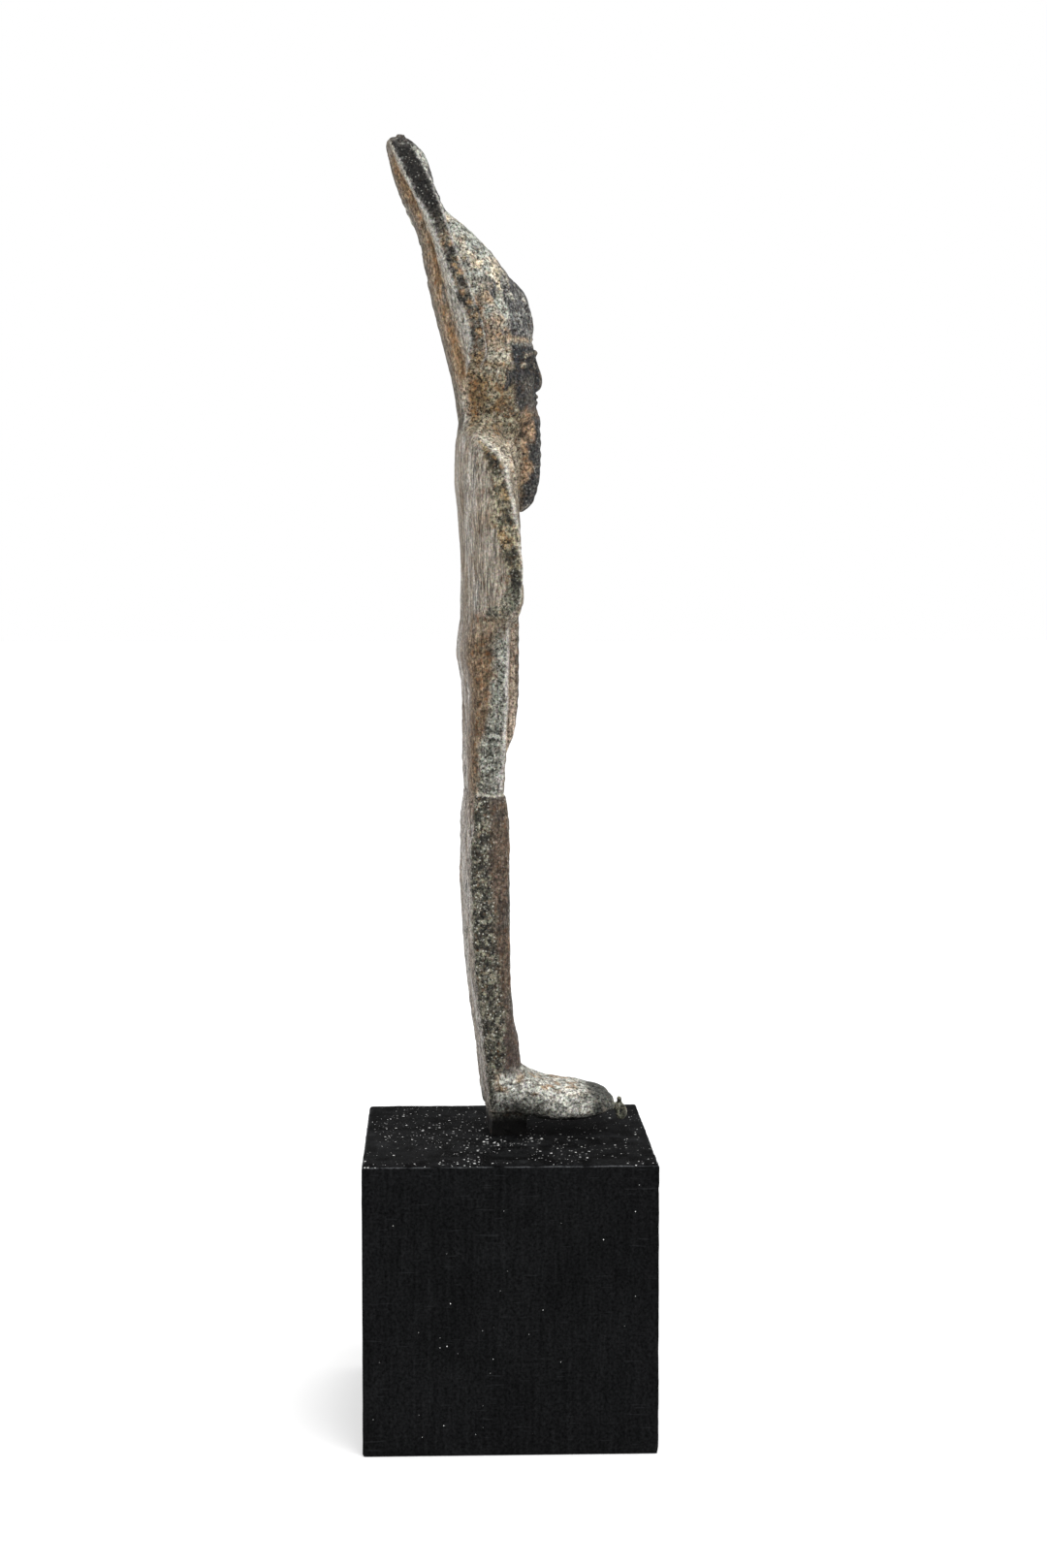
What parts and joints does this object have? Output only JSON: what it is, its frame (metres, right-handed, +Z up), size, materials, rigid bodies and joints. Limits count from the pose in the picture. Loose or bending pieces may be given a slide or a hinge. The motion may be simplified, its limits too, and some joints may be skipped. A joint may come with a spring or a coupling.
{
  "type": "osiris statuette",
  "caption": "Small cast bronze figure of a standing, mummy-wrapped deity with a tall plumed crown, held by its foot tang in a plain black wooden block.",
  "frame": {"origin": "centre of the wooden block's underside", "axes": "+Z up along the figure, which faces about -Y and stands turned 5 degrees on its block; the block's sides lie along X and Y"},
  "size_m": [0.04, 0.04, 0.1784],
  "materials": {
    "bronze": "corroded bronze, taupe brown and grey with pale grey-green, ochre and near-black patches, dry and grainy",
    "black_wood": "matt black paint over fine-grained wood, edges lightly worn, dusty on top"
  },
  "bodies": {
    "root": {"osiris_figure": "bronze", "wooden_block": "black_wood"}
  },
  "joints": []
}
